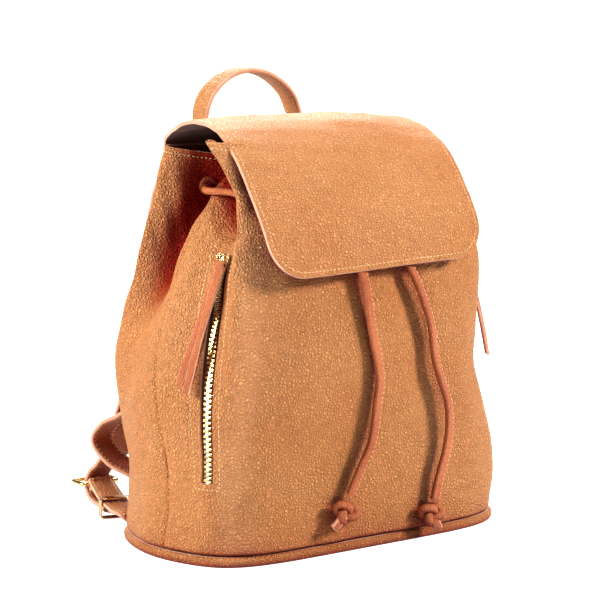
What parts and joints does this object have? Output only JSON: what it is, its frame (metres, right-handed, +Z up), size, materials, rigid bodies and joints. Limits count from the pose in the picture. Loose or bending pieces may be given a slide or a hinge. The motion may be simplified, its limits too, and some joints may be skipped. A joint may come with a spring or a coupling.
{
  "type": "leather backpack",
  "caption": "Soft leather drawstring backpack with a fold-over flap, side zip pockets, a carrying handle and buckled shoulder straps.",
  "frame": {"origin": "middle of the base's underside, on the surface the bag stands on", "axes": "+Z up, the front with the flap faces -Y, the shoulder straps are at +Y, +X is to the right seen from the front"},
  "size_m": [0.2814, 0.2557, 0.328],
  "materials": {
    "leather": "pebbled full-grain leather",
    "trim": "smooth folded leather",
    "raw": "suede lining, raw edge",
    "board": "stiff bonded leather board",
    "cloth": "plain woven lining",
    "tape": "woven zip tape",
    "brass": "polished light gold"
  },
  "bodies": {
    "bag": {"front_panel": "leather", "back_panel": "leather", "base_panel": "leather", "base_board": "board", "lining": "cloth", "mouth_facing": "trim", "eyelet_washers": "trim", "drawstring_loop": "trim", "drawstring_end_left": "trim", "drawstring_end_right": "trim", "knot_left": "trim", "knot_right": "trim", "snap_socket": "brass", "flap_root": "leather", "handle_tabs": "leather", "zip_tape_left": "tape", "zip_tape_right": "tape", "zip_teeth_left": "brass", "zip_teeth_right": "brass", "zip_stops_left": "brass", "zip_stops_right": "brass", "pocket_bag_left": "cloth", "pocket_bag_right": "cloth", "strap_patch_left": "leather", "strap_patch_right": "leather"},
    "flap": {"flap_top": "leather", "flap_top_lining": "raw"},
    "flap_end": {"flap_front": "leather", "flap_front_lining": "raw", "snap_stud": "brass"},
    "handle": {"handle_strap": "leather"},
    "zip_slider_left": {"slider_left": "brass"},
    "zip_pull_left": {"puller_left": "brass", "pull_tab_left": "trim"},
    "strap_left": {"shoulder_strap_left": "leather", "lower_strap_left": "leather", "buckle_frame_left": "brass", "buckle_prong_left": "brass", "keeper_left": "brass"},
    "zip_slider_right": {"slider_right": "brass"},
    "zip_pull_right": {"puller_right": "brass", "pull_tab_right": "trim"},
    "strap_right": {"shoulder_strap_right": "leather", "lower_strap_right": "leather", "buckle_frame_right": "brass", "buckle_prong_right": "brass", "keeper_right": "brass"}
  },
  "joints": [
    {"name": "flap_hinge", "type": "hinge", "parent": "bag", "child": "flap", "pos_m": [0, 0.05105, 0.28213], "axis": [-1, 0, 0], "range_deg": [0, 80]},
    {"name": "flap_fold", "type": "hinge", "parent": "flap", "child": "flap_end", "pos_m": [0, -0.03468, 0.27852], "axis": [-1, 0, 0], "range_deg": [0, 50]},
    {"name": "handle_fold", "type": "hinge", "parent": "bag", "child": "handle", "pos_m": [0, 0.0641, 0.2564], "axis": [-1, 0, 0], "range_deg": [0, 100]},
    {"name": "zip_slide_left", "type": "slide", "parent": "bag", "child": "zip_slider_left", "axis": [-0.1565, -0.1066, -0.9819], "range_m": [0, 0.142]},
    {"name": "zip_pull_swing_left", "type": "hinge", "parent": "zip_slider_left", "child": "zip_pull_left", "pos_m": [-0.1034, -0.0414, 0.20812], "axis": [-0.4683, 0.8833, -0.0213], "range_deg": [0, 120]},
    {"name": "strap_swing_left", "type": "hinge", "parent": "bag", "child": "strap_left", "pos_m": [-0.115, 0.0655, 0.013], "axis": [0.158, -0.0154, 0.9873], "range_deg": [-5, 30]},
    {"name": "zip_slide_right", "type": "slide", "parent": "bag", "child": "zip_slider_right", "axis": [0.1565, -0.1066, -0.9819], "range_m": [0, 0.142]},
    {"name": "zip_pull_swing_right", "type": "hinge", "parent": "zip_slider_right", "child": "zip_pull_right", "pos_m": [0.1034, -0.0414, 0.20812], "axis": [-0.4683, -0.8833, 0.0213], "range_deg": [0, 120]},
    {"name": "strap_swing_right", "type": "hinge", "parent": "bag", "child": "strap_right", "pos_m": [0.115, 0.0655, 0.013], "axis": [0.158, 0.0154, -0.9873], "range_deg": [-5, 30]}
  ]
}
